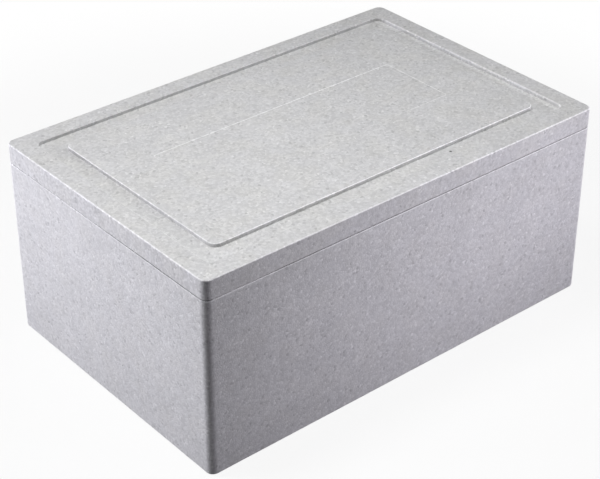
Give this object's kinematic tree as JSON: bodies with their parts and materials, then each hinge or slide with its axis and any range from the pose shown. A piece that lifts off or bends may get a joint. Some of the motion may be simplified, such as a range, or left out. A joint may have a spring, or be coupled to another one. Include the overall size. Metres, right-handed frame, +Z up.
{
  "type": "insulated foam box",
  "caption": "Rectangular moulded bead foam box with thick walls and a flush lift-off lid, grooved on top and plugged below, for keeping goods cold or warm.",
  "frame": {"origin": "centre of the underside, on the surface that the box stands on", "axes": "+X along the long sides, +Y along the short sides, +Z up out of the body's mouth and through the lid's top"},
  "size_m": [0.6, 0.39, 0.2634],
  "materials": {
    "bead_foam_body": "matte, moulded foam beads in light grey with fine darker and lighter flecks",
    "bead_foam_lid": "matte, moulded foam beads in light grey with fine darker and lighter flecks"
  },
  "bodies": {
    "box": {"box_body": "bead_foam_body"},
    "lid": {"lid": "bead_foam_lid"}
  },
  "joints": [
    {"name": "lid_lift", "type": "slide", "parent": "box", "child": "lid", "axis": [0, 0, 1], "range_m": [0, 0.3]}
  ]
}
